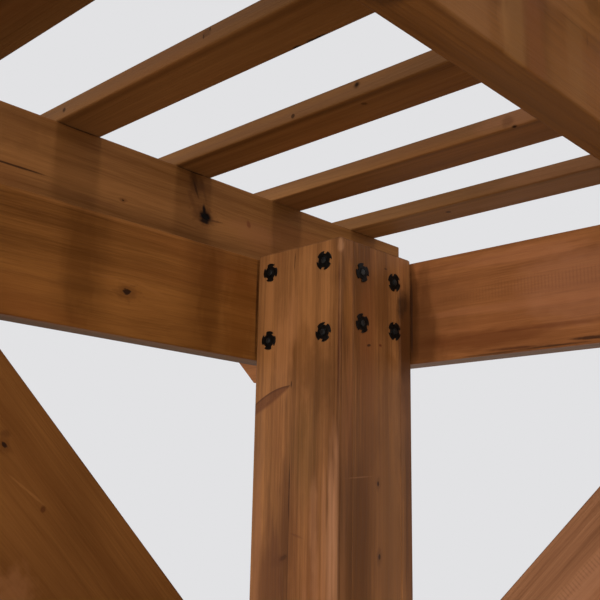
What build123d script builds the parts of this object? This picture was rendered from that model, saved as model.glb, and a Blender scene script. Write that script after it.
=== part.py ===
from build123d import *
import os

os.makedirs("parts", exist_ok=True)

# A free-standing cedar pergola. Millimetres, +Z up, origin on the ground at the middle of the plan.
# X runs along the rafters, Y along the two headers that carry them.
# Left and right are -X and +X, front and back are -Y and +Y.

# Clear plan between the inner faces of the four posts
clear_span_x = 2406
clear_span_y = 3000

# Posts, square, glued up from boards: two full-width cheeks with two narrower boards between them
post_width = 140
post_cheek = 24
post_edge_radius = 3
post_top_chamfer = 2
glue_line_depth = 1

# Headers (along Y) and tie beams (along X), bolted to the outer faces of the posts, tops level
beam_top = 2180
beam_depth = 133
beam_thickness = 32
header_tail = 206
post_rise = 4

# Rafters, cut over the headers, the outermost ones against the outer faces of the tie beams
rafter_count = 7
rafter_depth = 120
rafter_thickness = 36
rafter_seat_depth = 17
rafter_seat_clearance = 0.3
rafter_tail = 206

# The lower corner of every header and rafter tail is sawn off at 45 degrees
tail_clip = 57

# Shade slats, laid flat across the rafters
slat_count = 18
slat_width = 59
slat_thickness = 20
slat_end_margin = 61
slat_overhang = 60

# Knee braces at 45 degrees, between a post and the inner face of a tie beam or header.
# The reach is from the post to where the brace's upper edge meets the beam's underside.
brace_width = 184
brace_thickness = 32
tie_brace_reach = 405
header_brace_reach = 409
brace_top_drop = 20

# Small rounding of the long sawn edges
board_edge_radius = 2

# Places that follow from the sizes above
post_inner_x = clear_span_x / 2
post_inner_y = clear_span_y / 2
post_outer_x = post_inner_x + post_width
post_outer_y = post_inner_y + post_width
beam_bottom = beam_top - beam_depth
rafter_bottom = beam_top - rafter_seat_depth
rafter_top = rafter_bottom + rafter_depth
header_x = post_outer_x + beam_thickness / 2
tie_beam_y = post_outer_y + beam_thickness / 2
outer_rafter_y = post_outer_y + beam_thickness + rafter_thickness / 2
rafter_pitch = 2 * outer_rafter_y / (rafter_count - 1)
outer_slat_x = post_outer_x + rafter_tail - slat_end_margin - slat_width / 2
slat_pitch = 2 * outer_slat_x / (slat_count - 1)

SIDES_X = {"left": -1, "right": 1}
SIDES_Y = {"front": -1, "back": 1}


def save(name, solid):
    """Write one piece to its own file, under its own name."""
    solid.label = name
    export_step(solid, f"parts/{name}.step")


def board(plane, outline, thickness):
    """A board sawn to an outline drawn on a plane, which passes through the middle of its
    thickness. The long edges are rounded, the sawn ends stay sharp."""
    face = make_face(plane * Polyline(*outline, close=True))
    body = extrude(face, amount=thickness / 2, both=True)
    long_edges = []
    for edge in body.edges():
        direction = edge.tangent_at(0.5)
        upright = abs(direction.Z) > 0.99
        across = abs(direction.dot(plane.z_dir)) > 0.99
        if not upright and not across:
            long_edges.append(edge)
    return fillet(long_edges, board_edge_radius)


def plain_outline(half_length, bottom, top):
    """Side view of a board with square ends."""
    return [
        (-half_length, bottom),
        (half_length, bottom),
        (half_length, top),
        (-half_length, top),
    ]


def tailed_outline(half_length, bottom, top):
    """Side view of a beam whose two lower end corners are sawn off."""
    clipped = half_length - tail_clip
    return [
        (-clipped, bottom),
        (clipped, bottom),
        (half_length, bottom + tail_clip),
        (half_length, top),
        (-half_length, top),
        (-half_length, bottom + tail_clip),
    ]


def make_post():
    """A post with rounded arrises and the open glue lines beside its two cheeks."""
    height = beam_top + post_rise
    body = Pos(0, 0, height / 2) * Box(post_width, post_width, height)
    body = fillet(body.edges().filter_by(Axis.Z), post_edge_radius)
    body = chamfer(body.faces().sort_by(Axis.Z)[-1].edges(), post_top_chamfer)
    groove_side = glue_line_depth * 2 ** 0.5
    groove = Rot(0, 0, 45) * Box(groove_side, groove_side, 2 * height)
    line_x = post_width / 2 - post_cheek
    for side_x in SIDES_X.values():
        for side_y in SIDES_Y.values():
            body -= Pos(side_x * line_x, side_y * post_width / 2, height / 2) * groove
    return body


def make_header():
    """A header, which runs past two posts and ends in clipped tails."""
    outline = tailed_outline(post_outer_y + header_tail, beam_bottom, beam_top)
    return board(Plane.YZ, outline, beam_thickness)


def make_tie_beam():
    """A tie beam, cut to fit between the two headers."""
    return board(Plane.XZ, plain_outline(post_outer_x, beam_bottom, beam_top), beam_thickness)


def make_rafter():
    """A rafter with clipped tails and a square seat cut over each header."""
    outline = tailed_outline(post_outer_x + rafter_tail, rafter_bottom, rafter_top)
    body = board(Plane.XZ, outline, rafter_thickness)
    seat_length = beam_thickness + 2 * rafter_seat_clearance
    seat = Box(seat_length, 2 * rafter_thickness, 2 * rafter_seat_depth)
    for side_x in SIDES_X.values():
        body -= Pos(side_x * header_x, 0, rafter_bottom) * seat
    return body


def make_slat():
    """A thin slat, flat on the rafters and proud of the two outermost ones."""
    half_length = outer_rafter_y + rafter_thickness / 2 + slat_overhang
    outline = plain_outline(half_length, rafter_top, rafter_top + slat_thickness)
    return board(Plane.YZ, outline, slat_width)


def make_brace(plane, post_face, side, reach):
    """A knee brace in the given upright plane, cut upright against the post and level at its top.
    post_face is how far the post's inner face lies from the middle, and side says on which side."""
    edge_drop = brace_width * 2 ** 0.5
    brace_top = beam_top - brace_top_drop
    top_run = reach + brace_top - beam_bottom
    corners = [
        (0, beam_bottom - reach),
        (0, beam_bottom - reach - edge_drop),
        (top_run + edge_drop, brace_top),
        (top_run, brace_top),
    ]
    outline = [(side * (post_face - run), height) for run, height in corners]
    return board(plane, outline, brace_thickness)


post = make_post()
header = make_header()
tie_beam = make_tie_beam()
rafter = make_rafter()
slat = make_slat()
post_x = post_inner_x + post_width / 2
post_y = post_inner_y + post_width / 2
header_brace_x = post_outer_x - brace_thickness / 2
tie_brace_y = post_outer_y - brace_thickness / 2

for x_name, side_x in SIDES_X.items():
    save(f"header_{x_name}", Pos(side_x * header_x, 0, 0) * header)
    tie_brace = make_brace(Plane.XZ, post_inner_x, side_x, tie_brace_reach)
    for y_name, side_y in SIDES_Y.items():
        corner = f"{y_name}_{x_name}"
        save(f"post_{corner}", Pos(side_x * post_x, side_y * post_y, 0) * post)
        save(f"tie_brace_{corner}", Pos(0, side_y * tie_brace_y, 0) * tie_brace)

for y_name, side_y in SIDES_Y.items():
    save(f"tie_beam_{y_name}", Pos(0, side_y * tie_beam_y, 0) * tie_beam)
    header_brace = make_brace(Plane.YZ, post_inner_y, side_y, header_brace_reach)
    for x_name, side_x in SIDES_X.items():
        corner = f"{y_name}_{x_name}"
        save(f"header_brace_{corner}", Pos(side_x * header_brace_x, 0, 0) * header_brace)

for number in range(rafter_count):
    rafter_y = number * rafter_pitch - outer_rafter_y
    save(f"rafter_{number + 1:02d}", Pos(0, rafter_y, 0) * rafter)

for number in range(slat_count):
    slat_x = number * slat_pitch - outer_slat_x
    save(f"slat_{number + 1:02d}", Pos(slat_x, 0, 0) * slat)
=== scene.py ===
import math
import random

import bmesh
import bpy
from mathutils import Matrix, Vector


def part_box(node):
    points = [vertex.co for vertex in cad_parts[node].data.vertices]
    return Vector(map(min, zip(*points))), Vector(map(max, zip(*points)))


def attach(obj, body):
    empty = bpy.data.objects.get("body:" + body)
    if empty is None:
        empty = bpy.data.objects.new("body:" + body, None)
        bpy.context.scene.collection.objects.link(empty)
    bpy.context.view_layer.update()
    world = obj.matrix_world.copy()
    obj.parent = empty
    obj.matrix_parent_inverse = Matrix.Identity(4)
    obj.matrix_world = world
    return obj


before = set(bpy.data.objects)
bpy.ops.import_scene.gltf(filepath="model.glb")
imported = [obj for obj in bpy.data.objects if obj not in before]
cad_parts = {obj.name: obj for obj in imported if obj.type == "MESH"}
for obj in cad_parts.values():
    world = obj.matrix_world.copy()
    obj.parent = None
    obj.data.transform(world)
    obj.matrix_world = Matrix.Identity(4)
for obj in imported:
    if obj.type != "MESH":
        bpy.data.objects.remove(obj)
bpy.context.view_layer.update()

scene = bpy.context.scene
chance = random.Random(7)
SIDES = (("left", -1), ("right", 1))
ENDS = (("front", -1), ("back", 1))


# The camera stands inside the pergola and looks up into its back right corner.
# Its place is measured from that post's inner arris, level with the tops of the beams.
post_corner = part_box("post_back_right")[0]
beam_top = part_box("tie_beam_back")[1].z
arris = Vector((post_corner.x, post_corner.y, beam_top))
from_arris = Vector((-0.7764, -0.6628, -0.3162))
camera_angles = (103.268, -1.073, -47.097)
camera_lens = 53.476

camera_data = bpy.data.cameras.new("camera")
camera_data.sensor_width = 36
camera_data.lens = camera_lens
camera_data.clip_start = 0.01
camera = bpy.data.objects.new("camera", camera_data)
camera.location = arris + from_arris
camera.rotation_euler = [math.radians(angle) for angle in camera_angles]
scene.collection.objects.link(camera)
scene.camera = camera


# Posts: western red cedar, glued up from boards into a 140 mm box and stained a warm brown.
# The grain runs up the post and breaks at each glue line, and the wide cheek that faces into
# the pergola is itself spliced, with a slanting joint below the bolts.
def stain(red, green, blue):
    """A colour given in everyday 0 to 255 values, as the renderer wants it."""
    linear = []
    for value in (red, green, blue):
        share = value / 255
        linear.append(share / 12.92 if share < 0.04045 else ((share + 0.055) / 1.055) ** 2.4)
    return (*linear, 1)


def add_node(tree, kind, inputs, **settings):
    """Add a node, set it up, and join or set each of its inputs."""
    node = tree.nodes.new(kind)
    for name, value in settings.items():
        setattr(node, name, value)
    for name, value in inputs.items():
        socket = node.inputs[name]
        if isinstance(value, bpy.types.NodeSocket):
            tree.links.new(value, socket)
        else:
            socket.default_value = value
    return node


def maths(tree, operation, *values):
    """One sum on plain numbers."""
    return add_node(tree, "ShaderNodeMath", dict(enumerate(values)), operation=operation).outputs[0]


def vectors(tree, operation, *values):
    """One sum on places."""
    node = add_node(tree, "ShaderNodeVectorMath", dict(enumerate(values)), operation=operation)
    return node.outputs["Value" if operation in ("LENGTH", "DOT_PRODUCT") else "Vector"]


def blend_colour(tree, share, first, second):
    """The first colour, turned towards the second."""
    # in a mix node the colours come after the sockets for numbers and places
    node = add_node(tree, "ShaderNodeMix", {0: share, 6: first, 7: second}, data_type="RGBA")
    return node.outputs[2]


def fade(tree, value, start, end):
    """0 up to start, 1 from end on, and a smooth rise between them."""
    inputs = {"Value": value, "From Min": start, "From Max": end}
    node = add_node(tree, "ShaderNodeMapRange", inputs, interpolation_type="SMOOTHSTEP")
    return node.outputs["Result"]


def speckle(tree, place, scale, detail, roughness=0.5):
    """Soft noise about 0 on a place, which is stretched by a scale on each axis."""
    stretched = vectors(tree, "MULTIPLY", place, scale)
    inputs = {"Vector": stretched, "Scale": 1.0, "Detail": detail, "Roughness": roughness}
    node = add_node(tree, "ShaderNodeTexNoise", inputs)
    return maths(tree, "SUBTRACT", node.outputs[0], 0.5), node.outputs[1]


def layered(tree, depth, scale, detail):
    """Soft noise about 0 that depends only on the depth in the growth rings."""
    inputs = {"W": maths(tree, "MULTIPLY", depth, scale), "Scale": 1.0, "Detail": detail}
    node = add_node(tree, "ShaderNodeTexNoise", inputs, noise_dimensions="1D")
    return maths(tree, "SUBTRACT", node.outputs[0], 0.5)


def open_group(name, takes, gives):
    """An empty node group with named inputs and outputs."""
    tree = bpy.data.node_groups.new(name, "ShaderNodeTree")
    for label, kind in takes.items():
        tree.interface.new_socket(name=label, in_out="INPUT", socket_type="NodeSocket" + kind)
    for label, kind in gives.items():
        tree.interface.new_socket(name=label, in_out="OUTPUT", socket_type="NodeSocket" + kind)
    source = tree.nodes.new("NodeGroupInput")
    return tree, source.outputs, tree.nodes.new("NodeGroupOutput")


def close_group(tree, sink, results):
    """Join the results to the outputs of a group."""
    for name, value in results.items():
        tree.links.new(value, sink.inputs[name])
    return tree


def use_group(tree, group, inputs):
    """Put a finished group to use in a tree, and give its outputs."""
    return add_node(tree, "ShaderNodeGroup", inputs, node_tree=group).outputs


# Directions in the wood are along the grain, across the face and through the board.
# A knot's form, and the reach of what it does, which is counted in its own radius.
knot_form = (0.6, 1.0, 0.35)
knot_wobble = (120, 200, 200)
knot_raggedness = 1.5
knot_heart = 0.6
grain_parts_within = 2.1
halo_within = 3.4
# Knots smaller than the first fade out, and those larger than the second show in full.
faint_knot, full_knot = 0.0003, 0.001
# What a knot without a radius divides by.
least_radius, least_square = 1e-4, 1e-9


def make_knot_group():
    """A knot in a board. The grain parts to flow round it, and the wood near it is darker."""
    tree, given, sink = open_group(
        "knot",
        {
            "Place": "Vector", "Centre": "Vector", "Radius": "Float",
            "Knot": "Float", "Halo": "Float",
        },
        {"Place": "Vector", "Knot": "Float", "Halo": "Float"},
    )
    away = vectors(tree, "SUBTRACT", given["Place"], given["Centre"])
    distance = vectors(tree, "LENGTH", vectors(tree, "MULTIPLY", away, knot_form))
    wobble = speckle(tree, given["Place"], knot_wobble, 2)[0]
    wobble = maths(tree, "MULTIPLY_ADD", wobble, knot_raggedness, 1.0)
    ragged = maths(tree, "MULTIPLY", distance, wobble)

    # the grain moves aside by a share that falls with the square of the distance
    reach = maths(tree, "MULTIPLY", given["Radius"], grain_parts_within)
    square = maths(tree, "ADD", maths(tree, "MULTIPLY", reach, reach), least_square)
    spread = maths(tree, "MULTIPLY_ADD", distance, distance, square)
    parted = vectors(tree, "MULTIPLY", away, (0.0, 1.0, 0.0))
    share = maths(tree, "DIVIDE", square, spread)
    scaled = add_node(tree, "ShaderNodeVectorMath", {0: parted, "Scale": share}, operation="SCALE")

    edge = maths(tree, "ADD", given["Radius"], least_radius)
    core = fade(tree, ragged, edge, maths(tree, "MULTIPLY", edge, knot_heart))
    ring = fade(tree, ragged, maths(tree, "MULTIPLY", edge, halo_within), edge)
    present = fade(tree, given["Radius"], faint_knot, full_knot)
    core = maths(tree, "MULTIPLY", core, present)
    ring = maths(tree, "MULTIPLY", ring, present)
    return close_group(tree, sink, {
        "Place": vectors(tree, "SUBTRACT", given["Place"], scaled.outputs["Vector"]),
        "Knot": maths(tree, "MAXIMUM", given["Knot"], core),
        "Halo": maths(tree, "MAXIMUM", given["Halo"], ring),
    })


# Wild knots lie in cells this many to the metre. A cell has one if its luck is better than most,
# and the knot's radius grows with the luck that is left.
knot_cells = Vector((1.7, 6.5, 6.5))
luck_needed = 0.66
radius_by_luck = 0.028
# The grain sways in long waves and in short ones, each by so many metres.
long_wave, long_sway = (0.9, 3.0, 3.0), 0.05
short_wave, short_sway = (5.0, 22.0, 22.0), 0.006
# The scale of each kind of unevenness, first those that run from ring to ring.
broad_scale = 42
fine_scale = 210
width_scale = 60
depth_scale = 75
fibre_scale = (18, 520, 520)
streak_scale = (2.5, 90, 90)
cloud_scale = (2.3, 9.0, 9.0)
patch_scale = (3.1, 16.0, 16.0)
# The latewood of a ring darkens from the first share of its width to the second, and stops
# between the third and the end of the ring.
late_start, late_full, late_stop = 0.45, 0.93, 0.95
middle_tone = 0.54
sapwood_end = stain(96, 60, 33)
latewood_end = stain(50, 28, 14)
halo_brown = stain(70, 37, 14)
core_brown = stain(28, 15, 8)


def make_cedar_group(knot_group):
    """Stained cedar. Growth rings are shells round a pith line along the grain, so they show as
    stripes on a face and as arcs on an end, and neighbouring rings differ in tone."""
    tree, given, sink = open_group(
        "cedar",
        {
            "Place": "Vector", "Seed": "Vector", "Pith": "Vector", "Grain": "Vector",
            "Ring": "Float", "Lines": "Float", "Wild Knots": "Float", "Contrast": "Float",
            "Knot": "Float", "Halo": "Float",
            "Pale": "Color", "Deep": "Color", "Red": "Color",
        },
        {"Color": "Color", "Roughness": "Float", "Height": "Float", "End": "Float"},
    )
    shifted = vectors(tree, "ADD", given["Place"], given["Seed"])
    in_cells = vectors(tree, "MULTIPLY", shifted, knot_cells)
    cells = add_node(tree, "ShaderNodeTexVoronoi", {"Vector": in_cells, "Scale": 1.0})
    centre = vectors(tree, "DIVIDE", cells.outputs["Position"], knot_cells)
    centre = vectors(tree, "SUBTRACT", centre, given["Seed"])
    luck = add_node(tree, "ShaderNodeSeparateColor", {0: cells.outputs["Color"]}).outputs[0]
    luck_left = maths(tree, "MAXIMUM", maths(tree, "SUBTRACT", luck, luck_needed), 0.0)
    radius = maths(tree, "MULTIPLY", luck_left, radius_by_luck)
    wild = use_group(tree, knot_group, {
        "Place": given["Place"], "Centre": centre,
        "Radius": maths(tree, "MULTIPLY", radius, given["Wild Knots"]),
        "Knot": given["Knot"], "Halo": given["Halo"],
    })

    # the distance from the pith, once the grain has swayed across and through the board
    seeded = vectors(tree, "ADD", wild["Place"], given["Seed"])
    swayed = wild["Place"]
    for wave, sway, detail in ((long_wave, long_sway, 1), (short_wave, short_sway, 2)):
        centred = vectors(tree, "SUBTRACT", speckle(tree, seeded, wave, detail)[1], (0.5, 0.5, 0.5))
        swayed = vectors(tree, "MULTIPLY_ADD", centred, (0.0, sway, sway), swayed)
    from_pith = vectors(tree, "SUBTRACT", swayed, given["Pith"])
    depth = vectors(tree, "LENGTH", vectors(tree, "MULTIPLY", from_pith, (0.0, 1.0, 1.0)))
    own_start = add_node(tree, "ShaderNodeSeparateXYZ", {0: given["Seed"]}).outputs["X"]
    depth = maths(tree, "ADD", depth, own_start)

    # the dark latewood of each ring, in rings of uneven width, some of them fainter than others
    uneven = layered(tree, depth, width_scale, 1)
    count = maths(tree, "MULTIPLY_ADD", uneven, 2.5, maths(tree, "DIVIDE", depth, given["Ring"]))
    turn = maths(tree, "FRACT", count)
    darkest = maths(tree, "ADD", layered(tree, depth, depth_scale, 1), 0.5)
    late = fade(tree, turn, late_start, late_full)
    late = maths(tree, "MULTIPLY", late, fade(tree, turn, 1.0, late_stop))
    late = maths(tree, "MULTIPLY", late, darkest)

    # the tone of the wood, from the layers of its figure by weight
    fibre = speckle(tree, seeded, fibre_scale, 3, 0.65)[0]
    figure = (
        (layered(tree, depth, broad_scale, 1), 1.1),
        (layered(tree, depth, fine_scale, 3), 0.65),
        (fibre, 0.9),
        (speckle(tree, seeded, streak_scale, 2)[0], 0.65),
        (speckle(tree, seeded, cloud_scale, 2)[0], 1.4),
        (maths(tree, "MULTIPLY", late, given["Lines"]), -0.07),
    )
    tone = 0.0
    for layer, weight in figure:
        tone = maths(tree, "MULTIPLY_ADD", layer, weight, tone)
    tone = maths(tree, "MULTIPLY_ADD", tone, given["Contrast"], middle_tone)
    tone = add_node(tree, "ShaderNodeClamp", {0: tone}).outputs[0]
    colour = blend_colour(tree, tone, given["Deep"], given["Pale"])
    patches = fade(tree, speckle(tree, seeded, patch_scale, 1)[0], 0.0, 0.3)
    colour = blend_colour(tree, maths(tree, "MULTIPLY", patches, 0.5), colour, given["Red"])

    # sawn ends, where the rings show as arcs, and then the knots
    upright = add_node(tree, "ShaderNodeNewGeometry", {}).outputs["Normal"]
    facing = vectors(tree, "DOT_PRODUCT", upright, given["Grain"])
    end = fade(tree, maths(tree, "ABSOLUTE", facing), 0.45, 0.75)
    rings = blend_colour(tree, late, sapwood_end, latewood_end)
    for cover, share, paint in ((end, 0.65, rings), (wild["Halo"], 0.45, halo_brown),
                                (wild["Knot"], 0.9, core_brown)):
        colour = blend_colour(tree, maths(tree, "MULTIPLY", cover, share), colour, paint)

    height = maths(tree, "MULTIPLY_ADD", fibre, 0.9, maths(tree, "MULTIPLY", late, 0.5))
    height = maths(tree, "MULTIPLY_ADD", wild["Knot"], -0.8, height)
    return close_group(tree, sink, {
        "Color": colour,
        "Roughness": maths(tree, "MULTIPLY_ADD", fibre, 0.35, 0.58),
        "Height": height,
        "End": end,
    })


knot_group = make_knot_group()
cedar_group = make_cedar_group(knot_group)


def share_of_reach(tree, where, centre, reach, turn):
    """The distance from a centre, as a share of the reach, which is given in millimetres along
    X, Y and Z and tilted by a turn in degrees."""
    inputs = {
        "Vector": where, "Location": centre, "Scale": [size / 1000 for size in reach],
        "Rotation": [math.radians(angle) for angle in turn],
    }
    inside = add_node(tree, "ShaderNodeMapping", inputs, vector_type="TEXTURE").outputs[0]
    return vectors(tree, "LENGTH", inside)


# The edge of a patch frays this fine, and in wisps along a side that reaches further.
fray_scale = 95
fray_reach = 30


def smudge(tree, where, colour, centre, reach, paint, strength, turn=(0, 0, 0)):
    """Paint a soft, ragged patch on a board: a stain, check or glue line, or painted light or
    shade. Reach is its half size in millimetres along X, Y and Z, which turn tilts in degrees."""
    stretched = [min(fray_scale, fray_scale * fray_reach / size) for size in reach]
    fray = speckle(tree, where, stretched, 2)[0]
    distance = share_of_reach(tree, where, centre, reach, turn)
    ragged = maths(tree, "MULTIPLY_ADD", fray, 0.9, distance)
    share = maths(tree, "MULTIPLY", fade(tree, ragged, 1.0, 0.35), strength)
    return blend_colour(tree, share, colour, stain(*paint))


def spot(along_x, along_y, up):
    """A place in millimetres from the inner arris of the back right post."""
    return arris + Vector((along_x, along_y, up)) / 1000


def new_finish(name):
    """An empty material, its tree of nodes, its surface, and the place of a point on the piece."""
    material = bpy.data.materials.new(name)
    material.use_nodes = True
    tree = material.node_tree
    where = add_node(tree, "ShaderNodeTexCoord", {}).outputs["Object"]
    return material, tree, tree.nodes["Principled BSDF"], where


def roughen(tree, surface, height, strength, relief):
    """Raise and sink a surface a little by an uneven height."""
    inputs = {"Height": height, "Strength": strength, "Distance": relief}
    bump = add_node(tree, "ShaderNodeBump", inputs)
    tree.links.new(bump.outputs["Normal"], surface.inputs["Normal"])


# Each board comes from a log of its own. Its pith may lie this far aside and this far below or
# above the middle of the board, and its rings are this wide, all in metres.
pith_aside = 0.12
pith_depths = (0.04, 0.3)
ring_widths = (0.0025, 0.005)
seed_reach = 40


def cedar(name, grain, across, finish, knots=(), marks=(), boards=None, extra=None):
    """Give a board its own cedar, with the grain along one direction. Knots are (place, radius in
    millimetres). Marks are smudges. Boards breaks the figure where several boards are glued."""
    low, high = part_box(name)
    middle = (low + high) / 2
    grain = Vector(grain).normalized()
    across = Vector(across).normalized()
    turned = Matrix((grain, across, grain.cross(across))).transposed()
    material, tree, surface, where = new_finish(name)
    inputs = {"Vector": where, "Location": middle, "Rotation": turned.to_euler()}
    place = add_node(tree, "ShaderNodeMapping", inputs, vector_type="TEXTURE").outputs[0]
    darkness = {}
    for knot_place, radius in knots:
        centre = turned.inverted() @ (knot_place - middle)
        knot = use_group(tree, knot_group, {
            "Place": place, "Centre": centre, "Radius": radius / 1000, **darkness})
        place = knot["Place"]
        darkness = {"Knot": knot["Knot"], "Halo": knot["Halo"]}
    if boards:
        place = boards(tree, place)
    pith_side = chance.uniform(-pith_aside, pith_aside)
    pith_depth = chance.choice((-1, 1)) * chance.uniform(*pith_depths)
    ring = chance.uniform(*ring_widths)
    wood = use_group(tree, cedar_group, {
        "Place": place, "Grain": grain, **darkness,
        "Seed": [chance.uniform(-seed_reach, seed_reach) for _ in range(3)],
        "Pith": finish.get("pith", (0, pith_side, pith_depth)),
        "Ring": finish.get("ring", ring),
        "Lines": finish.get("lines", 1),
        "Wild Knots": finish.get("wild", 1),
        "Contrast": finish["contrast"],
        **{tone.title(): stain(*finish[tone]) for tone in ("pale", "deep", "red")},
    })
    colour = wood["Color"]
    for mark in marks:
        colour = smudge(tree, where, colour, *mark)
    if extra:
        colour = extra(tree, where, colour)
    tree.links.new(colour, surface.inputs["Base Color"])
    tree.links.new(wood["Roughness"], surface.inputs["Roughness"])
    roughen(tree, surface, wood["Height"], 0.6, 0.0005)
    # a sawn end has no gloss
    gloss = finish["gloss"]
    sheen = maths(tree, "MULTIPLY_ADD", wood["End"], -gloss, gloss)
    tree.links.new(sheen, surface.inputs["Specular IOR Level"])
    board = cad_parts[name]
    board.data.materials.clear()
    board.data.materials.append(material)


check_brown = (40, 22, 12)
knot_brown = (52, 26, 12)
cheek_line = 0.046
splice_line = 0.007
splice_slope = -0.41
# How far the figure jumps along the grain from the fillers to each of the other boards.
outer_jump, inner_jump, splice_jump = -5.3, 3.7, 6.1


def glued_up(side, end, splice_height):
    """The boards of one post: two cheeks, two fillers between them, and a spliced inner cheek."""
    def boards(tree, place):
        part = add_node(tree, "ShaderNodeSeparateXYZ", {0: place}).outputs
        inner = maths(tree, "MULTIPLY", part["Y"], -side)
        outward = maths(tree, "MULTIPLY", part["Z"], end)
        inner_cheek = maths(tree, "GREATER_THAN", inner, cheek_line)
        outer_cheek = maths(tree, "LESS_THAN", inner, -cheek_line)
        beyond = maths(tree, "GREATER_THAN", outward, splice_line)
        joint = maths(tree, "MULTIPLY_ADD", outward, splice_slope, splice_height)
        below = maths(tree, "LESS_THAN", part["X"], joint)
        spliced = maths(tree, "MULTIPLY", maths(tree, "MULTIPLY", beyond, below), inner_cheek)
        jump = maths(tree, "MULTIPLY", inner_cheek, inner_jump)
        jump = maths(tree, "MULTIPLY_ADD", outer_cheek, outer_jump, jump)
        jump = maths(tree, "MULTIPLY_ADD", spliced, splice_jump, jump)
        shift = add_node(tree, "ShaderNodeCombineXYZ", {"X": jump}).outputs[0]
        return vectors(tree, "ADD", place, shift)
    return boards


# The wedge of the splice runs from its tip to the arris beyond, in metres. Its upper edge bends
# down by a square and its lower edge by a weaker power.
splice_point = spot(0, 77, -168)
wedge_tip = spot(0, 77.7, -169)
wedge_length = 0.0606
wedge_drop = 0.035
wedge_depth = 0.024
upper_bend = 5.3
lower_bend = 0.75
wedge_brown = stain(92, 50, 27)
wedge_edge_brown = stain(66, 34, 15)


def splice_wedge(tree, where, colour):
    """The feathered end of the splice, a thin dark wedge that comes to a point at the glue line."""
    part = add_node(tree, "ShaderNodeSeparateXYZ", {0: where}).outputs
    along = maths(tree, "MAXIMUM", maths(tree, "SUBTRACT", part["Y"], wedge_tip.y), 0.0)
    drop = maths(tree, "SUBTRACT", wedge_tip.z, part["Z"])
    bend = maths(tree, "MULTIPLY", maths(tree, "MULTIPLY", along, along), upper_bend)
    upper = maths(tree, "SUBTRACT", drop, bend)
    spread = maths(tree, "POWER", maths(tree, "DIVIDE", along, wedge_length), lower_bend)
    lower = maths(tree, "SUBTRACT", maths(tree, "MULTIPLY", spread, wedge_drop), drop)
    within = fade(tree, upper, -0.0004, 0.001)
    within = maths(tree, "MULTIPLY", within, fade(tree, lower, -0.001, 0.004))
    on_cheek = maths(tree, "LESS_THAN", part["X"], wedge_tip.x + wedge_depth)
    within = maths(tree, "MULTIPLY", within, on_cheek)
    edge = maths(tree, "MULTIPLY", within, fade(tree, upper, 0.004, 0.0005))
    colour = blend_colour(tree, maths(tree, "MULTIPLY", within, 0.7), colour, wedge_brown)
    return blend_colour(tree, maths(tree, "MULTIPLY", edge, 0.6), colour, wedge_edge_brown)


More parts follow.
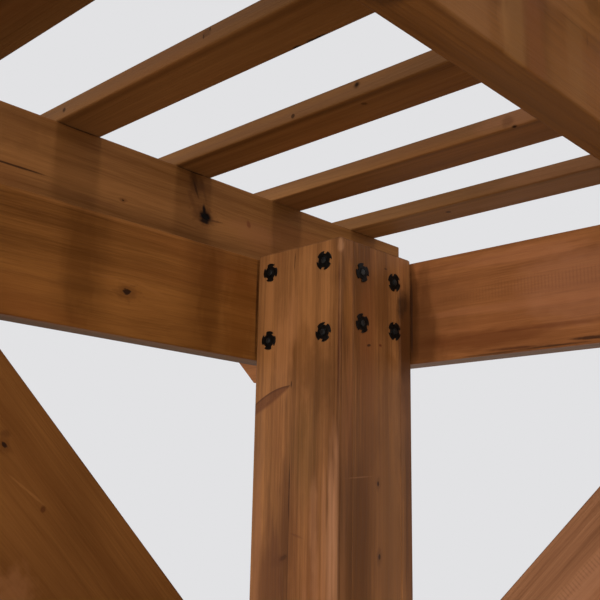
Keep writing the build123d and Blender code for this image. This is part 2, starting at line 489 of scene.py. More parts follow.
post_finish = {
    "pale": (152, 100, 56), "deep": (90, 54, 24), "red": (135, 80, 43),
    "contrast": 1.15, "gloss": 0.14,
}
seen_post_marks = [
    # the point of the splice, and the glue line that runs down from it
    (splice_point, (4, 1.6, 6), check_brown, 0.85),
    (spot(0, 77, -300), (3, 1.6, 50), check_brown, 0.9),
    (spot(0, 77, -390), (3, 1.0, 230), check_brown, 0.5),
    # checks and dark streaks by the arris and at the top
    (spot(0, 2.5, -112), (3, 1.8, 112), (66, 30, 14), 0.75),
    (spot(2.5, 0, -110), (1.6, 3, 100), (66, 34, 16), 0.55),
    (spot(0, 75, -14), (3, 1.1, 18), check_brown, 0.7, (3, 0, 0)),
    (spot(0, 85, -345), (4, 11, 130), (84, 48, 22), 0.55),
    (spot(0, 92, -374), (4, 16, 10), (88, 50, 24), 0.5, (-20, 0, 0)),
    (spot(0, 85, -371), (4, 10, 4.2), (58, 30, 12), 0.8, (-28, 0, 0)),
    (spot(0, 64, -345), (3, 13, 1.8), (96, 54, 32), 0.45, (14, 0, 0)),
    # weathered tones on the inner cheek, and painted light: the broad pale patch over its top
    (spot(0, 70, -60), (12, 120, 90), (178, 122, 72), 0.17),
    (spot(0, 32, -165), (10, 34, 56), (86, 51, 20), 0.5),
    (spot(0, 26, -190), (10, 22, 90), (88, 54, 22), 0.35),
    (spot(0, 58, -140), (10, 24, 60), (98, 58, 22), 0.4),
    (spot(0, 75, -85), (6, 14, 50), (176, 118, 74), 0.3),
    (spot(0, 52, -250), (9, 30, 70), (104, 70, 32), 0.4),
    # painted highlight: pale strips down the lower arris, where light catches the cheek beside it
    (spot(0, 5, -350), (6, 5, 170), (182, 128, 90), 0.45),
    (spot(0, 14, -385), (6, 6, 170), (178, 124, 86), 0.4),
    (spot(0, 22, -370), (6, 5, 150), (176, 120, 82), 0.35),
    (spot(0, 34, -430), (6, 8, 110), (172, 118, 80), 0.35),
    (spot(0, 50, -450), (6, 6, 90), (166, 110, 74), 0.3),
    (spot(0, 94, -125), (8, 22, 75), (190, 128, 80), 0.3),
    (spot(0, 57, -215), (6, 11, 55), (90, 57, 18), 0.35),
    # painted highlight beside the lower arris, like the strips above
    (spot(0, 10, -330), (6, 7, 130), (190, 134, 96), 0.4),
    (spot(0, 38, -330), (6, 9, 70), (180, 124, 84), 0.3),
    (spot(0, 78, -350), (9, 17, 80), (84, 47, 18), 0.4),
    (spot(0, 129, -330), (9, 12, 60), (110, 68, 42), 0.35),
    (spot(0, 106, -430), (9, 34, 150), (92, 53, 28), 0.75),
    (spot(0, 130, -240), (9, 14, 70), (110, 72, 44), 0.5),
    (spot(0, 130, -370), (9, 10, 150), (150, 98, 66), 0.3),
    # painted highlight where the top of the arris catches the light
    (spot(1, 1, -6), (7, 7, 11), (166, 118, 82), 0.5),
    # marks on the face under the tie beam
    (spot(60, 0, -340), (90, 4, 190), (92, 55, 24), 0.45),
    (spot(94, 0, -330), (25, 4, 210), (122, 80, 45), 0.45),
    (spot(34, 0, -400), (40, 6, 170), (90, 52, 14), 0.42),
    (spot(9, 0, -400), (5, 4, 150), (122, 78, 44), 0.4),
    (spot(1.8, 0, -390), (2.2, 4, 170), (64, 34, 16), 0.5),
    (spot(71, 0, -284.5), (2.0, 3, 3.4), knot_brown, 0.8),
    (spot(73.6, 0, -367), (2.6, 3, 3.6), knot_brown, 0.8),
    (spot(54, 0, -121), (5.5, 3, 2.4), check_brown, 0.9, (0, -12, 0)),
    (spot(76, 0, -118), (4.5, 3, 2.2), (92, 38, 18), 0.9),
    (spot(87, 0, -18.6), (4.5, 3, 1.8), knot_brown, 0.85),
    (spot(23, 0, -77), (1.4, 3, 10), knot_brown, 0.75),
    (spot(76, 0, -60), (26, 5, 60), (94, 54, 20), 0.4),
    (spot(60, 0, -195), (34, 5, 90), (94, 58, 28), 0.35),
    (spot(124, 0, -190), (34, 5, 130), (88, 56, 32), 0.6),
    (spot(130, 0, -108), (28, 5, 98), (70, 36, 8), 0.88),
    (spot(15, 0, -72), (11, 4, 60), (138, 88, 40), 0.35),
    (spot(121, 0, -60), (13, 5, 26), (44, 24, 8), 0.7, (0, 14, 0)),
    (spot(100, 0, -135), (22, 5, 12), (112, 66, 22), 0.4, (0, 30, 0)),
    (spot(38, 0, -278), (30, 3, 1.0), (146, 100, 66), 0.4, (0, -5, 0)),
    (spot(133, 0, -330), (10, 9, 240), (82, 47, 26), 0.55),
]
seen_post_knots = [(spot(71, 0, -284.5), 1.8), (spot(73.6, 0, -367), 2.2)]
for end_name, end in ENDS:
    for side_name, side in SIDES:
        name = f"post_{end_name}_{side_name}"
        low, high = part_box(name)
        splice = chance.uniform(-0.7, 0.7)
        knots, marks, wedge = [], [], None
        if name == "post_back_right":
            splice = splice_point.z - (low.z + high.z) / 2
            knots, marks, wedge = seen_post_knots, seen_post_marks, splice_wedge
        boards = glued_up(side, end, splice)
        cedar(name, (0, 0, 1), (1, 0, 0), post_finish, knots, marks, boards, wedge)


# Headers and tie beams: full cedar planks on edge, bolted to the outer faces of the posts.
# The headers run past the posts and end in clipped tails, and the tie beams fit between them.
# The planer has left faint ripples across the header that shows best.
ripple_pitch = 0.00435
ripple_breaks = (50, 50, 190)


def planer_ripple(tree, where, colour, grain, centre, reach, turn, paint, strength):
    """Fine ticks across the grain, in a long soft patch. Reach is its half size in millimetres."""
    along = vectors(tree, "DOT_PRODUCT", where, Vector(grain).normalized())
    wave = maths(tree, "SINE", maths(tree, "MULTIPLY", along, 2 * math.pi / ripple_pitch))
    broken = speckle(tree, where, ripple_breaks, 2)[0]
    distance = share_of_reach(tree, where, centre, reach, turn)
    ragged = maths(tree, "MULTIPLY_ADD", broken, 1.4, distance)
    share = maths(tree, "MULTIPLY", fade(tree, ragged, 1.0, 0.3), fade(tree, wave, -0.2, 1.0))
    return blend_colour(tree, maths(tree, "MULTIPLY", share, strength), colour, stain(*paint))


def header_ripple(tree, where, colour):
    """The ripple along the middle of the right header."""
    return planer_ripple(tree, where, colour, (0, 1, 0), spot(140, -190, -55), (10, 190, 15),
                         (0, 0, 0), (96, 56, 33), 0.18)


header_finish = {
    "pale": (163, 104, 58), "deep": (103, 57, 24), "red": (142, 81, 43),
    "contrast": 0.95, "gloss": 0.15, "ring": 0.006, "wild": 0.5,
}
tie_finish = {
    "pale": (130, 82, 36), "deep": (80, 45, 14), "red": (114, 63, 26), "contrast": 0.9,
    "gloss": 0.05, "ring": 0.003, "lines": 2.4, "pith": (0, -0.05, 0.09), "wild": 0.5,
}
seen_header_marks = [
    # paler and darker streaks along the board
    (spot(140, -20, -75), (6, 80, 90), (108, 64, 32), 0.45),
    (spot(140, -230, -62), (6, 100, 60), (172, 116, 84), 0.35),
    (spot(140, -150, -77), (6, 170, 7), (168, 108, 70), 0.35, (1, 0, 0)),
    (spot(140, -160, -16), (6, 110, 14), (170, 110, 72), 0.42),
    (spot(140, -200, -107), (5, 90, 4), (98, 50, 24), 0.5, (0.5, 0, 0)),
    (spot(140, -100, -112), (5, 130, 16), (98, 50, 18), 0.6, (1, 0, 0)),
    (spot(140, -70, -98), (5, 40, 3), (150, 94, 56), 0.35, (4, 0, 0)),
    # a ragged dark edge below, over the greyer underside
    (spot(140, -245, -126.5), (5, 42, 2.6), (48, 22, 10), 0.85, (2, 0, 0)),
    (spot(140, -150, -128), (5, 50, 2.4), (66, 31, 15), 0.7, (1, 0, 0)),
    (spot(140, -190, -130.5), (5, 66, 2.0), (52, 27, 12), 0.75),
    (spot(140, -120, -131.5), (5, 60, 1.6), (56, 30, 14), 0.6),
    (spot(158, -150, -134), (24, 500, 4), (92, 66, 34), 0.75),
    # painted shadow in the gap beside the post, darkest at the post and softer further out
    (spot(140, -8, -84), (5, 44, 115), (74, 38, 8), 0.62, (-8, 0, 0)),
    (spot(140, -2, -80), (4, 12, 100), (62, 30, 2), 0.65),
    (spot(140, -1, -66), (3, 2.6, 80), (44, 23, 10), 0.75),
]
seen_tie_marks = [
    # painted shade in the crease where the tie beam meets the post, then a painted highlight along
    # its top arris
    (spot(-1, 140, -66), (2.6, 3, 80), (46, 25, 12), 0.8),
    (spot(-230, 140, -3), (170, 4, 1.6), (134, 86, 46), 0.4),
    (spot(-228, 140, -71), (46, 4, 2.4), (132, 84, 40), 0.4, (0, 3, 0)),
    (spot(-168, 140, -74), (34, 4, 2.6), (132, 84, 40), 0.45, (0, 14, 0)),
    (spot(-260, 140, -88), (50, 4, 12), (84, 50, 19), 0.3),
    # painted shadows of two slats, as upright bands down the face
    (spot(-266, 140, -66), (26, 4, 90), (76, 40, 8), 0.3),
    (spot(-82, 140, -66), (24, 4, 90), (76, 38, 6), 0.35),
    (spot(-30, 140, -80), (40, 4, 90), (84, 42, 4), 0.45),
    (spot(-230, 158, -134), (500, 24, 4), (98, 72, 40), 0.65),
]
seen_tie_knots = [(spot(-203, 140, -83), 3.8)]
for side_name, _ in SIDES:
    marks, ripple = (seen_header_marks, header_ripple) if side_name == "right" else ([], None)
    cedar(f"header_{side_name}", (0, 1, 0), (0, 0, 1), header_finish, marks=marks, extra=ripple)
for end_name, _ in ENDS:
    knots, marks = (seen_tie_knots, seen_tie_marks) if end_name == "back" else ([], [])
    cedar(f"tie_beam_{end_name}", (1, 0, 0), (0, 0, 1), tie_finish, knots, marks)


# Rafters: seven cedar planks on edge, notched to sit down over the two headers, with the same
# clipped tails. The outermost two lie against the outer faces of the tie beams.
rafter_finish = {
    "pale": (130, 86, 46), "deep": (84, 50, 20), "red": (114, 66, 32),
    "contrast": 0.85, "gloss": 0.04,
}
rafter_marks = {
    "rafter_07": [
        # the dark figure that fans up from the large knot to the slat
        (spot(-84, 172, 90), (16, 4, 28), (64, 38, 18), 0.5, (0, -12, 0)),
        (spot(-88, 172, 94), (7, 4, 18), (50, 29, 14), 0.5, (0, -14, 0)),
        (spot(-84, 172, 80), (2.6, 4, 18), (44, 24, 10), 0.7, (0, -24, 0)),
        (spot(-72, 172, 84), (4, 4, 24), (70, 42, 21), 0.35, (0, -20, 0)),
        (spot(-90, 172, 64), (5, 4, 22), (78, 46, 22), 0.35, (0, -30, 0)),
        # the knot itself, black and ragged
        (spot(-70, 172, 48), (22, 4, 15), (84, 50, 24), 0.4),
        (spot(-67, 172, 48), (13, 4, 10), (11, 8, 6), 1.0, (0, 20, 0)),
        (spot(-69, 172, 56), (4, 4, 9), (16, 11, 7), 0.95, (0, -10, 0)),
        (spot(-68, 172, 41), (11, 4, 3.6), (18, 12, 7), 0.9),
        (spot(-48, 172, 46), (16, 4, 1.8), (64, 37, 18), 0.6, (0, -4, 0)),
        # a reddish mark to the right of it, and a long check at the left
        (spot(10, 172, 57), (5, 4, 7), (84, 38, 16), 0.85, (0, -24, 0)),
        (spot(-345, 172, 35.4), (66, 3, 1.5), check_brown, 0.85),
        (spot(-250, 172, 24), (70, 4, 5), (88, 52, 26), 0.35),
        (spot(-335, 172, 78), (40, 4, 28), (86, 51, 22), 0.35),
        (spot(20, 172, 50), (60, 4, 20), (124, 78, 48), 0.3),
        # painted shade along the top, in the crease where two slats cross it
        (spot(-258, 172, 102.6), (36, 4, 2.4), (30, 17, 9), 0.85),
        (spot(-88, 172, 102.6), (36, 4, 2.4), (30, 17, 9), 0.85),
    ],
    "rafter_06": [
        (spot(-188, -391, 51.5), (28, 3, 1.1), (76, 44, 19), 0.6, (0, -1, 0)),
        (spot(-163, -391, 46), (1.6, 3, 8), (76, 44, 19), 0.5),
        (spot(-395, -375, -17), (14, 18, 6), (58, 34, 16), 0.6),
        # painted light and shadow on the side: pale bands where light falls between the slats, a
        # redder band in a slat's shadow
        (spot(-342, -391, 10), (48, 4, 110), (146, 104, 68), 0.26),
        (spot(-278, -391, 12), (23, 4, 90), (144, 102, 60), 0.55),
        (spot(-250, -391, 14), (20, 4, 90), (128, 79, 45), 0.55),
        (spot(-185, -391, 25), (22, 4, 60), (124, 86, 48), 0.35),
        (spot(-148, -391, 84), (24, 4, 16), (92, 58, 28), 0.55),
        (spot(-200, -375, -17), (160, 28, 4), (110, 76, 47), 0.45),
    ],
}
rafter_knots = {
    "rafter_07": [(spot(-69, 172, 49.5), 4.6), (spot(-194, 172, 35.4), 1.1)],
}
rafters = sorted(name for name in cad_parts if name.startswith("rafter_"))
for name in rafters:
    knots, marks = rafter_knots.get(name, []), rafter_marks.get(name, [])
    cedar(name, (1, 0, 0), (0, 0, 1), rafter_finish, knots, marks)


# Slats: eighteen thin cedar strips for shade, laid flat across the rafters and proud of the
# outermost two, with one screw down through each into every rafter.
slat_finish = {
    "pale": (141, 98, 58), "deep": (101, 65, 32), "red": (124, 77, 41),
    "contrast": 0.75, "gloss": 0.03,
}
slat_marks = {
    "slat_15": [
        (spot(-289, 160, 112.5), (3, 4, 3.4), (56, 34, 19), 0.85),
        (spot(-289, -80, 116.5), (3, 8, 5.5), (86, 54, 32), 0.5),
        (spot(-289, -84, 119), (3, 1.8, 2.8), (50, 30, 17), 0.8),
        (spot(-289, -75, 114.5), (3, 1.6, 3), (54, 33, 19), 0.7),
        (spot(-229, -142, 104), (7, 9, 6), (22, 13, 8), 1.0),
        (spot(-229, -168, 104), (7, 25, 6), (22, 13, 8), 1.0),
    ],
    "slat_16": [
        (spot(-117, -120, 116.5), (3, 6.6, 5), (70, 44, 25), 0.8),
        (spot(-117, -120, 116.5), (3, 3.4, 2.8), (36, 21, 12), 0.85),
        (spot(-117, -28.7, 108.7), (3, 3.6, 3.4), (58, 35, 20), 0.85),
        (spot(-99, -115, 103), (4, 5, 3), (52, 30, 14), 0.6),
    ],
    "slat_17": [
        (spot(54.4, -215, 114), (4, 80, 15), (164, 112, 80), 0.45),
        (spot(54.4, -197, 112), (4, 11, 9), (98, 60, 36), 0.5),
        (spot(54.4, -205, 102.5), (4, 4.6, 3.8), (50, 29, 16), 0.9),
        (spot(54.4, -205, 102.5), (4, 2.2, 2), (24, 14, 9), 0.9),
    ],
    "slat_18": [
        (spot(226, -170, 113), (4, 130, 15), (156, 108, 74), 0.42),
        (spot(254, -160, 103), (34, 190, 4), (142, 104, 76), 0.42),
        (spot(251, 13, 103), (5, 5, 3), (50, 28, 15), 0.75),
    ],
}
slat_shades = {
    "slat_03": 0.93, "slat_06": 1.06, "slat_10": 0.95, "slat_12": 1.05,
    "slat_14": 0.88, "slat_16": 1.07, "slat_17": 1.1, "slat_18": 1.03,
}
# painted light: the side of each slat takes a pinker tint, and a painted shade runs along its
# bottom by the arris
painted_slat_side_light = (114, 83, 61)
painted_shade_below = (64, 37, 14)
edge_above = (66, 44, 32)
pink_lift = 0.002
dark_inset = 0.006
past_ends = 1.6


def slat_side_light_and_marks(name):
    """Marks along the narrow side of a slat: a pinker tint that is painted light, a painted shade
    below and a darker line above. They reach past both ends of the slat, so they do not fade there."""
    low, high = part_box(name)
    middle = (low + high) / 2
    reach = past_ends * 500 * (high.y - low.y)
    return [
        (Vector((low.x, middle.y, middle.z + pink_lift)), (3, reach, 14), painted_slat_side_light, 0.5),
        (Vector((low.x + dark_inset, middle.y, low.z)), (8, reach, 3), painted_shade_below, 0.45),
        (Vector((low.x, middle.y, high.z)), (4, reach, 3.4), edge_above, 0.6),
    ]


slats = sorted(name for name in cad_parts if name.startswith("slat_"))
for name in slats:
    shade = slat_shades.get(name, 1)
    finish = dict(slat_finish)
    for tone in ("pale", "deep", "red"):
        finish[tone] = [shade * value for value in slat_finish[tone]]
    marks = slat_side_light_and_marks(name) + slat_marks.get(name, [])
    cedar(name, (0, 1, 0), (-1, 0, 0), finish, marks=marks)


# Knee braces: wide cedar planks at 45 degrees, sawn upright against the post and level under
# the roof, and bolted through the beam they lean on. Those along the headers are a paler plank.
tie_brace_finish = {
    "pale": (118, 75, 35), "deep": (84, 47, 17), "red": (115, 61, 27),
    "contrast": 0.75, "gloss": 0.04, "wild": 0.4,
}
header_brace_finish = {
    "pale": (168, 117, 82), "deep": (116, 74, 47), "red": (152, 96, 63),
    "contrast": 0.95, "gloss": 0.1, "wild": 0.4,
}
seen_brace_marks = [
    (spot(-305.6, 108, -319.7), (3.8, 4, 4.6), (70, 35, 15), 0.75, (0, 20, 0)),
    (spot(-352, 108, -252), (9, 4, 5), (72, 40, 18), 0.5),
    (spot(-324, 108, -303), (34, 4, 1.6), (134, 88, 46), 0.4, (0, 34, 0)),
    (spot(-330, 108, -400), (30, 4, 36), (150, 100, 64), 0.35),
]
seen_brace_knots = [(spot(-352, 108, -262), 2.4)]
brace_tilt = (-45, 0, 0)


def brace_ripple(tree, where, colour):
    """A paler band on the header brace of the back right corner, with the planer's ripple in it."""
    colour = smudge(tree, where, colour, spot(108, -234, -386), (10, 150, 15), (178, 126, 94), 0.25,
                    brace_tilt)
    return planer_ripple(tree, where, colour, (0, -1, 1), spot(108, -228, -380), (10, 120, 8),
                         brace_tilt, (110, 70, 47), 0.32)


for end_name, end in ENDS:
    for side_name, side in SIDES:
        corner = f"{end_name}_{side_name}"
        knots, marks, ripple = [], [], None
        if corner == "back_right":
            knots, marks, ripple = seen_brace_knots, seen_brace_marks, brace_ripple
        cedar(f"tie_brace_{corner}", (-side, 0, 1), (side, 0, 1), tie_brace_finish, knots, marks)
        cedar(f"header_brace_{corner}", (0, -end, 1), (0, end, 1), header_brace_finish,
              extra=ripple)


# Nuts: black steel pinwheels pressed flat against the inner faces of the posts and braces, four
# bent tabs round a raised collar, with the end of a bolt showing in the middle of each.
nut_facets = 24
nut_hub = 0.0086
nut_reach = 0.0118
nut_plate = 0.0016
nut_twist = 9
nut_rounding = 0.0004
# Of each quarter turn, this many degrees are a tab.
tab_quarter, tab_width = 90, 60
# The steps from a round top inwards: how far in, and then how far up or down.
nut_steps = [(0.0030, 0), (0.0003, 0.0009), (0.0009, 0), (0.0002, -0.0014)]
bolt_radius = 0.0038
bolt_end_base, bolt_end_height = 0.0008, 0.0013
bolt_end_steps = [(0.0003, 0.0003), (0.0012, 0.0003)]
# Where the bolts stand, in metres from the post's inner faces and below the tops of the beams.
bolt_across_x = (0.040, 0.104)
bolt_across_y = (0.026, 0.117)
tie_bolt_drop = (0.033, 0.096)
header_bolt_drop = (0.022, 0.110)
brace_bolt_run = (0.530, 0.650)
brace_bolt_drop = 0.076


def steel(name, dark, light, fineness, shine):
    """Satin steel, uneven between two tones, dusty on black steel and a painted glint on bare bolt
    ends.
    """
    material, tree, surface, where = new_finish(name)
    dust_and_glint = speckle(tree, where, (fineness, fineness, fineness), 3)[0]
    colour = blend_colour(tree, fade(tree, dust_and_glint, -0.15, 0.25), stain(*dark), stain(*light))
    tree.links.new(colour, surface.inputs["Base Color"])
    tree.links.new(maths(tree, "MULTIPLY_ADD", dust_and_glint, 0.4, 0.42), surface.inputs["Roughness"])
    roughen(tree, surface, dust_and_glint, 0.3, 0.0002)
    surface.inputs["Specular IOR Level"].default_value = shine
    return material


black_steel = steel("black_steel", (8, 7, 6), (19, 15, 12), 260, 0.11)
# the bolt ends are a paler bare steel, and their lighter tone, uneven from nut to nut, is also a
# painted glint
bare_steel_and_glint = steel("bare_steel_and_glint", (14, 15, 15), (45, 44, 43), 70, 0.22)


def new_corners(made):
    """The corner points among what an operator has made."""
    return [item for item in made["geom"] if isinstance(item, bmesh.types.BMVert)]


def add_prism(shape, sides, radius, base, height):
    """A short upright prism, closed at both ends. Gives its top face."""
    lift = Matrix.Translation((0, 0, base))
    ring = bmesh.ops.create_circle(shape, cap_ends=True, segments=sides, radius=radius, matrix=lift)
    cap = ring["verts"][0].link_faces[0]
    raised = bmesh.ops.extrude_face_region(shape, geom=[cap])
    bmesh.ops.translate(shape, vec=(0, 0, height), verts=new_corners(raised))
    return [item for item in raised["geom"] if isinstance(item, bmesh.types.BMFace)][0]


def step_in(shape, face, steps):
    """Step a round face inwards, each time by an inset and then up or down."""
    for inset, rise in steps:
        bmesh.ops.inset_region(shape, faces=[face], thickness=inset, depth=rise,
                               use_even_offset=True)


def top_edges(shape, level):
    """The edges that lie wholly above a level."""
    return [edge for edge in shape.edges if all(corner.co.z > level for corner in edge.verts)]


def soften(shape, edges, width):
    """Round the given edges."""
    bmesh.ops.bevel(shape, geom=edges, offset=width, offset_type="OFFSET", segments=2,
                    profile=0.5, affect="EDGES", material=-1)


def pattern_from(name, shape):
    """Keep a finished shape as a pattern to stamp out."""
    bmesh.ops.recalc_face_normals(shape, faces=shape.faces)
    mesh = bpy.data.meshes.new(name)
    shape.to_mesh(mesh)
    shape.free()
    return mesh


def make_nut():
    """One pinwheel nut, lying on the plane z = 0."""
    shape = bmesh.new()
    add_prism(shape, nut_facets, nut_hub, 0, nut_plate)
    shape.normal_update()
    tab_roots = []
    for face in shape.faces:
        middle = face.calc_center_median()
        angle = math.degrees(math.atan2(middle.y, middle.x)) % tab_quarter
        if abs(face.normal.z) < 0.5 and angle < tab_width:
            tab_roots.append(face)

    # the tabs grow out of the hub, and lean to one side as they do
    tips = new_corners(bmesh.ops.extrude_face_region(shape, geom=tab_roots))
    grow = nut_reach / nut_hub
    lean = Matrix.Rotation(math.radians(-nut_twist), 3, "Z")
    bmesh.ops.scale(shape, vec=(grow, grow, 1), verts=tips)
    bmesh.ops.rotate(shape, cent=(0, 0, 0), verts=tips, matrix=lean)
    rim = [edge for edge in top_edges(shape, nut_plate / 2) if edge.calc_face_angle(0) > 1]
    soften(shape, rim, nut_rounding)

    high_faces = [face for face in shape.faces if face.calc_center_median().z > nut_plate / 2]
    step_in(shape, max(high_faces, key=lambda face: face.calc_area()), nut_steps)
    straight = Matrix.Rotation(math.radians((nut_twist - tab_width) / 2), 4, "Z")
    bmesh.ops.transform(shape, matrix=straight, verts=shape.verts)
    return pattern_from("nut", shape)


def make_bolt_end():
    """The domed end of a bolt, which stands in the collar of its nut."""
    shape = bmesh.new()
    top = add_prism(shape, 16, bolt_radius, bolt_end_base, bolt_end_height)
    step_in(shape, top, bolt_end_steps)
    return pattern_from("bolt_end", shape)


def stamp(shape, pattern, place):
    """Add a copy of a pattern to a shape, at a place."""
    copied = pattern.copy()
    copied.transform(place)
    shape.from_mesh(copied)
    bpy.data.meshes.remove(copied)


def on_face(point, outward, turn=0):
    """The place of a piece that stands on an upright face, turned from the viewer's right."""
    outward = Vector(outward)
    right = Vector((0, 0, 1)).cross(outward)
    axes = Matrix((right, (0, 0, 1), outward)).transposed().to_4x4()
    return Matrix.Translation(point) @ axes @ Matrix.Rotation(math.radians(turn), 4, "Z")


def finish_piece(name, shape, material):
    """Make a piece from a finished shape, and let it ride with the pergola."""
    mesh = bpy.data.meshes.new(name)
    shape.to_mesh(mesh)
    shape.free()
    mesh.materials.append(material)
    piece = bpy.data.objects.new(name, mesh)
    scene.collection.objects.link(piece)
    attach(piece, "root")


nut = make_nut()
bolt_end = make_bolt_end()
# How far round the eight nuts in view have been driven, those through the header first.
seen_turns = (35, 24, 0, -5, 24, 28, 60, 50)
bolt_lines = {}
for end_name, end in ENDS:
    for side_name, side in SIDES:
        corner = f"{end_name}_{side_name}"
        low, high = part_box(f"post_{corner}")
        near_x = low.x if side > 0 else high.x
        near_y = low.y if end > 0 else high.y
        header_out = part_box(f"header_{side_name}")[1 if side > 0 else 0].x
        tie_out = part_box(f"tie_beam_{end_name}")[1 if end > 0 else 0].y
        brace_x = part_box(f"header_brace_{corner}")[0 if side > 0 else 1].x
        brace_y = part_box(f"tie_brace_{corner}")[0 if end > 0 else 1].y
        lines = []
        for across in bolt_across_y:
            for drop in header_bolt_drop:
                y, z = near_y + end * across, beam_top - drop
                lines.append((Vector((near_x, y, z)), Vector((header_out, y, z)), (-side, 0, 0)))
        for across in bolt_across_x:
            for drop in tie_bolt_drop:
                x, z = near_x + side * across, beam_top - drop
                lines.append((Vector((x, near_y, z)), Vector((x, tie_out, z)), (0, -end, 0)))
        for run in brace_bolt_run:
            z = beam_top - brace_bolt_drop
            y = near_y - end * run
            lines.append((Vector((brace_x, y, z)), Vector((header_out, y, z)), (-side, 0, 0)))
            x = near_x - side * run
            lines.append((Vector((x, brace_y, z)), Vector((x, tie_out, z)), (0, -end, 0)))
        bolt_lines[corner] = lines
        turns = [chance.uniform(0, tab_quarter) for _ in lines]
        if corner == "back_right":
            turns[:len(seen_turns)] = seen_turns
        nuts, ends = bmesh.new(), bmesh.new()
        for (inside, _, inward), turn in zip(lines, turns):
            place = on_face(inside, inward, turn)
            stamp(nuts, nut, place)
            stamp(ends, bolt_end, place)
        finish_piece(f"nuts_{corner}", nuts, black_steel)
        finish_piece(f"bolt_ends_{corner}", ends, bare_steel_and_glint)


# Bolts: a hexagon head on a round washer at the outer end of every bolt, on the weather side of
# the headers and tie beams, where the rafters stay clear of them.
washer_radius = 0.0125
washer_thick = 0.002
washer_rounding = 0.0005
head_radius = 0.0092
head_base, head_height = 0.0019, 0.0062
head_steps = [(0.0009, 0.0005), (0.0026, 0)]


def make_bolt_head():
    """A washer and the bolt head on it, standing on the plane z = 0."""
    shape = bmesh.new()
    add_prism(shape, 24, washer_radius, 0, washer_thick)
    soften(shape, top_edges(shape, washer_thick / 2), washer_rounding)
    head = add_prism(shape, 6, head_radius, head_base, head_height)
    step_in(shape, head, head_steps)
    return pattern_from("bolt_head", shape)


bolt_head = make_bolt_head()
for corner, lines in bolt_lines.items():
    shape = bmesh.new()
    for _, outside, inward in lines:
        outward = [-part for part in inward]
        stamp(shape, bolt_head, on_face(outside, outward, chance.uniform(0, 60)))
    finish_piece(f"bolt_heads_{corner}", shape, black_steel)


# Slat screws: one black countersunk screw through each slat over every rafter, almost flush with
# the wood, with a round socket in its head. They were driven by eye, a little off the middle.
screw_radius = 0.0042
screw_base, screw_height = -0.0006, 0.0008
screw_steps = [(0.0018, 0), (0.0003, -0.0006)]
screw_slip = 0.004


def make_screw_head():
    """A screw head that stands a hair proud of the plane z = 0."""
    shape = bmesh.new()
    top = add_prism(shape, 12, screw_radius, screw_base, screw_height)
    step_in(shape, top, screw_steps)
    return pattern_from("screw_head", shape)


screw_head = make_screw_head()
shape = bmesh.new()
for slat in slats:
    slat_low, slat_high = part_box(slat)
    for rafter in rafters:
        rafter_low, rafter_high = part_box(rafter)
        x = (slat_low.x + slat_high.x) / 2 + chance.uniform(-screw_slip, screw_slip)
        y = (rafter_low.y + rafter_high.y) / 2
        stamp(shape, screw_head, Matrix.Translation((x, y, slat_high.z)))
finish_piece("slat_screws", shape, black_steel)


# A plain studio: a pale floor that fades into the background, a soft key light that comes through
# the slats from the front, a large soft light low on the left, and an even fill from all round.
backdrop = stain(226, 226, 228)
floor_seen = stain(222, 222, 223)
floor_bounce = stain(192, 175, 148)
fill_below = stain(196, 180, 158)
fill_level = (1.15, 1.15, 1.15, 1)
fill_above = (0.75, 0.75, 0.77, 1)
floor_reach = 30
fade_start, fade_end = 4, 11
seen_rays = ("Is Camera Ray", "Is Glossy Ray", "Is Transmission Ray")


def seen(tree):
    """1 for a ray that shows a surface, 0 for one that only carries light."""
    path = add_node(tree, "ShaderNodeLightPath", {}).outputs
    share = path[seen_rays[0]]
    for name in seen_rays[1:]:
        share = maths(tree, "MAXIMUM", share, path[name])
    return share


def blend_looks(tree, share, first, second):
    """The first look of a surface or of the world, turned towards the second."""
    return add_node(tree, "ShaderNodeMixShader", {0: share, 1: first, 2: second}).outputs[0]


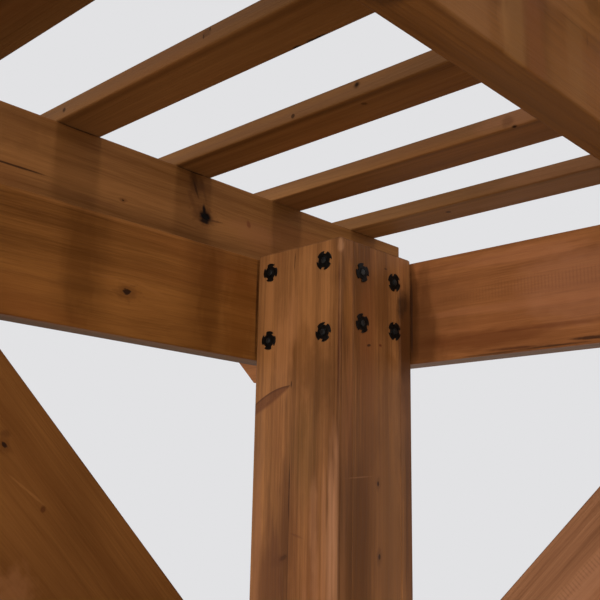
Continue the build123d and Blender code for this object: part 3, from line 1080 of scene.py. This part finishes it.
floor_shape = bmesh.new()
bmesh.ops.create_circle(floor_shape, cap_ends=True, segments=96, radius=floor_reach)
floor_mesh = bpy.data.meshes.new("floor")
floor_shape.to_mesh(floor_mesh)
floor_shape.free()
floor = bpy.data.objects.new("floor", floor_mesh)
scene.collection.objects.link(floor)
floor_paint, tree, satin, where = new_finish("floor")
tree.nodes.remove(satin)
tint = blend_colour(tree, seen(tree), floor_bounce, floor_seen)
matt = add_node(tree, "ShaderNodeBsdfDiffuse", {"Color": tint}).outputs[0]
glow = add_node(tree, "ShaderNodeEmission", {"Color": backdrop, "Strength": 1.0}).outputs[0]
far_off = fade(tree, vectors(tree, "LENGTH", where), fade_start, fade_end)
floor_look = blend_looks(tree, maths(tree, "MULTIPLY", far_off, seen(tree)), matt, glow)
tree.links.new(floor_look, tree.nodes["Material Output"].inputs["Surface"])
floor_mesh.materials.append(floor_paint)

world = bpy.data.worlds.new("studio")
scene.world = world
world.use_nodes = True
tree = world.node_tree
tree.nodes.remove(tree.nodes["Background"])
direction = add_node(tree, "ShaderNodeTexCoord", {}).outputs["Generated"]
rise = add_node(tree, "ShaderNodeSeparateXYZ", {0: direction}).outputs["Z"]
fill = blend_colour(tree, fade(tree, rise, 0.1, 0.6), fill_level, fill_above)
fill = blend_colour(tree, fade(tree, rise, -0.1, 0.0), fill_below, fill)
lit = add_node(tree, "ShaderNodeBackground", {"Color": fill, "Strength": 1.0}).outputs[0]
shown = add_node(tree, "ShaderNodeBackground", {"Color": backdrop, "Strength": 1.0}).outputs[0]
world_look = blend_looks(tree, seen(tree), lit, shown)
tree.links.new(world_look, tree.nodes["World Output"].inputs["Surface"])

key_data = bpy.data.lights.new("key", "SUN")
key_data.energy = 0.85
key_data.angle = math.radians(7)
key = bpy.data.objects.new("key", key_data)
key.rotation_euler = (math.radians(45), 0, 0)
scene.collection.objects.link(key)

side_data = bpy.data.lights.new("side_light", "AREA")
side_data.shape = "RECTANGLE"
side_data.size = 1.5
side_data.size_y = 7
side_data.energy = 110
side_data.spread = math.radians(80)
side_light = bpy.data.objects.new("side_light", side_data)
side_light.location = (-6.2, -3.2, 0.9)
side_light.rotation_euler = (0, math.radians(-101), math.radians(32))
side_light.visible_camera = False
scene.collection.objects.link(side_light)

scene.view_settings.view_transform = "Standard"
